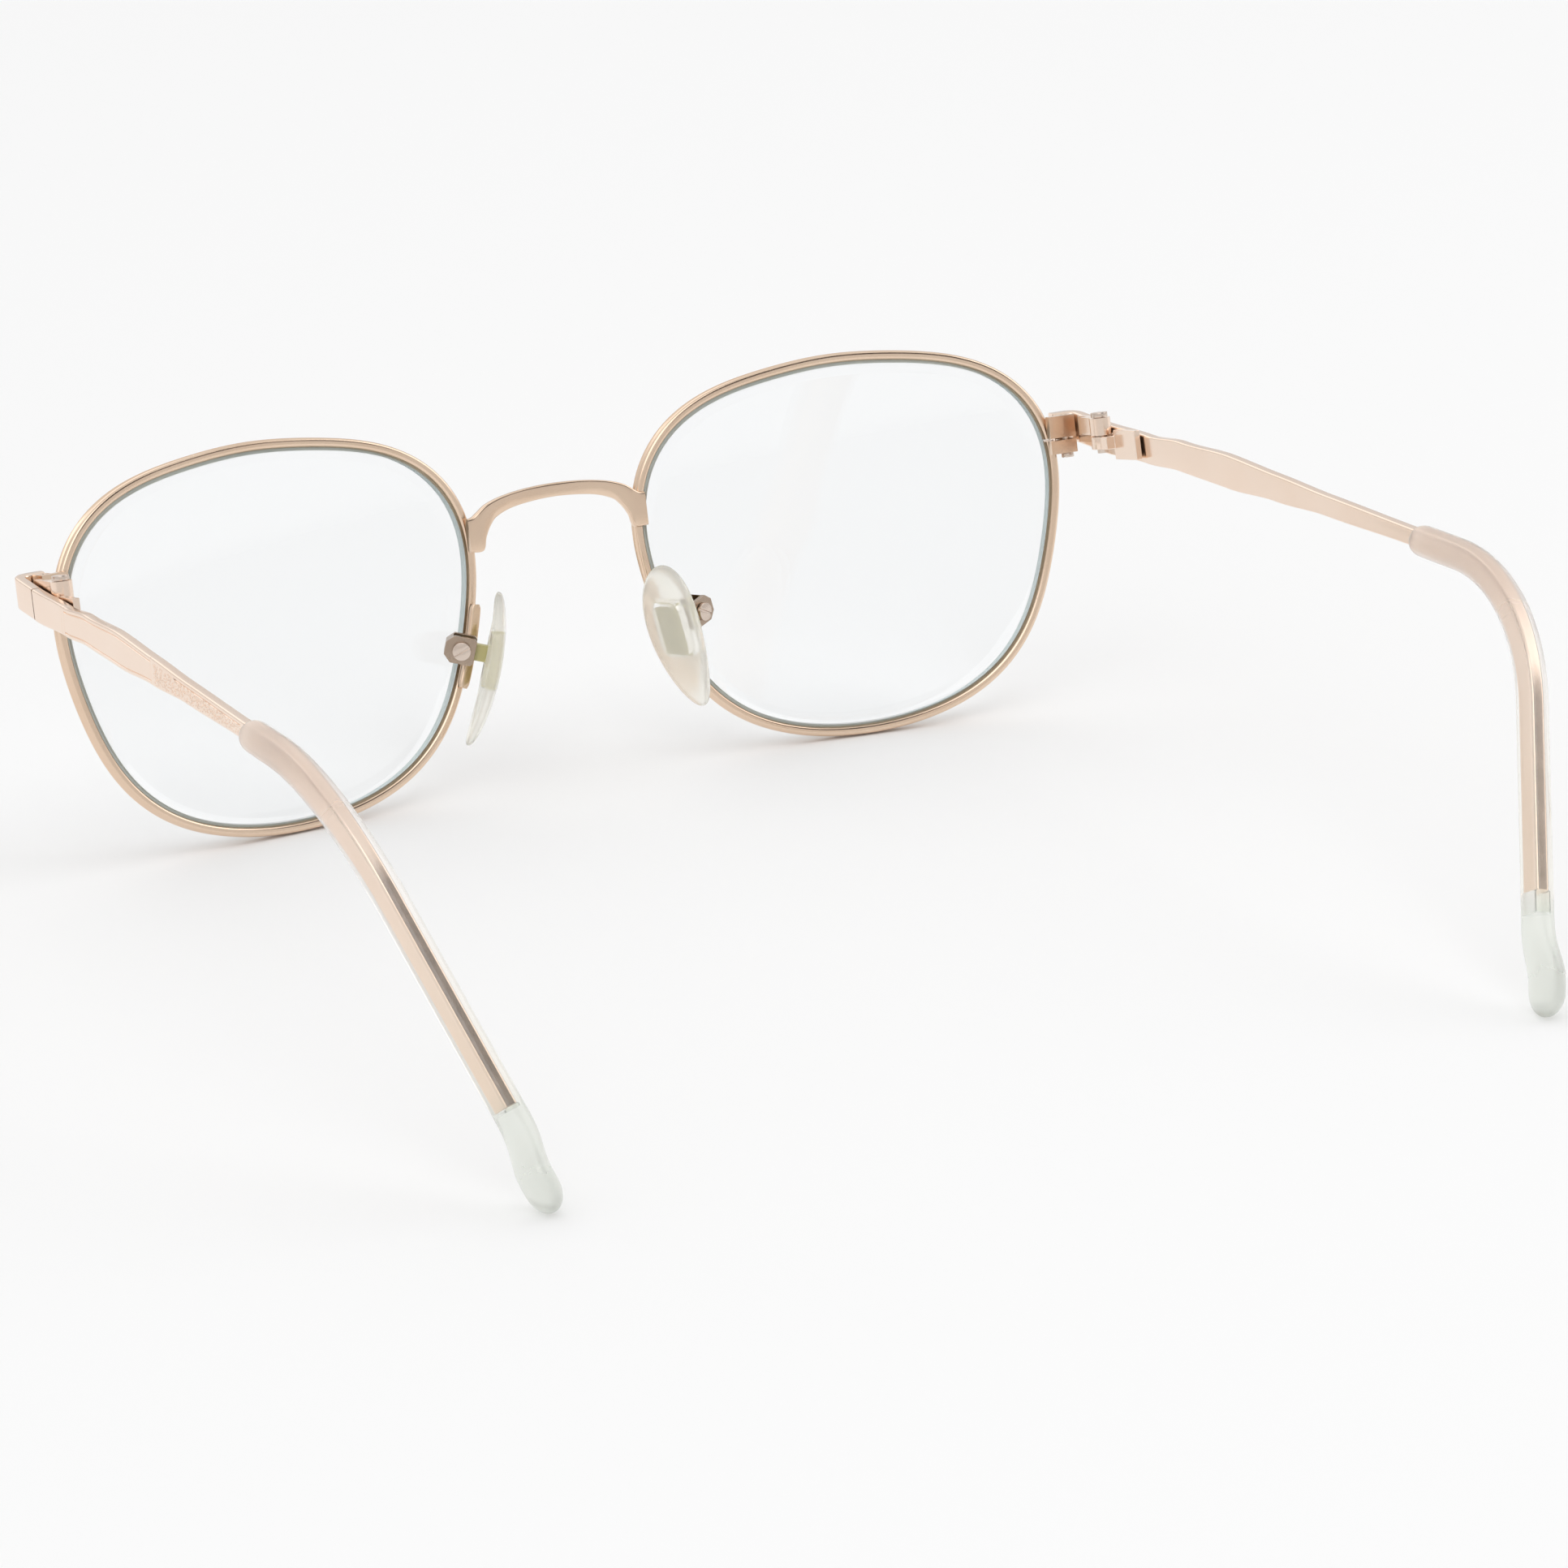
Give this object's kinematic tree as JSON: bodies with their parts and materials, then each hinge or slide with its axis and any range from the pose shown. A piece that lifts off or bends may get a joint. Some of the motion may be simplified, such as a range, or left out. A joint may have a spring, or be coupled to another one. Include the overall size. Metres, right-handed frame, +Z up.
{
  "type": "round wire eyeglasses",
  "caption": "Metal-rimmed eyeglasses with softly squared clear lenses, a saddle bridge, rocking nose pads and folding temples in clear sleeves.",
  "frame": {"origin": "centre of the bounding box of the open glasses, on the plane they stand on", "axes": "+X to the wearer's left, +Y back along the temples, +Z up"},
  "size_m": [0.1378, 0.1238, 0.0417],
  "materials": {
    "rose_gold": "polished plating",
    "screw_metal": "polished",
    "lens_glass": "clear, polished",
    "sleeve_plastic": "clear, glossy",
    "silicone": "translucent, soft",
    "core_plastic": "translucent"
  },
  "bodies": {
    "front": {"bridge": "rose_gold", "rim_left": "rose_gold", "lens_left": "lens_glass", "upper_closing_block_left": "rose_gold", "lower_closing_block_left": "rose_gold", "closing_screw_left": "screw_metal", "end_piece_left": "rose_gold", "front_hinge_left": "rose_gold", "hinge_screw_left": "screw_metal", "pad_arm_left": "rose_gold", "pad_box_left": "rose_gold", "pad_screw_left": "screw_metal", "rim_right": "rose_gold", "lens_right": "lens_glass", "upper_closing_block_right": "rose_gold", "lower_closing_block_right": "rose_gold", "closing_screw_right": "screw_metal", "end_piece_right": "rose_gold", "front_hinge_right": "rose_gold", "hinge_screw_right": "screw_metal", "pad_arm_right": "rose_gold", "pad_box_right": "rose_gold", "pad_screw_right": "screw_metal"},
    "temple_left": {"temple_left": "rose_gold", "temple_sleeve_left": "sleeve_plastic", "temple_hinge_left": "rose_gold"},
    "nose_pad_left": {"pad_cushion_left": "silicone", "pad_core_left": "core_plastic"},
    "temple_right": {"temple_right": "rose_gold", "temple_sleeve_right": "sleeve_plastic", "temple_hinge_right": "rose_gold"},
    "nose_pad_right": {"pad_cushion_right": "silicone", "pad_core_right": "core_plastic"}
  },
  "joints": [
    {"name": "temple_left_fold", "type": "hinge", "parent": "front", "child": "temple_left", "pos_m": [0.0624, -0.04665, 0.03214], "axis": [0, -0.2394, 0.9709], "range_deg": [0, 86]},
    {"name": "temple_right_fold", "type": "hinge", "parent": "front", "child": "temple_right", "pos_m": [-0.0624, -0.04665, 0.03214], "axis": [0, 0.2394, -0.9709], "range_deg": [0, 76]},
    {"name": "nose_pad_left_rock", "type": "hinge", "parent": "front", "child": "nose_pad_left", "pos_m": [0.01408, -0.05201, 0.0173], "axis": [0.4118, 0.9003, 0.1412], "range_deg": [-10, 10]},
    {"name": "nose_pad_right_rock", "type": "hinge", "parent": "front", "child": "nose_pad_right", "pos_m": [-0.01408, -0.05201, 0.0173], "axis": [0.4118, -0.9003, -0.1412], "range_deg": [-10, 10]}
  ]
}
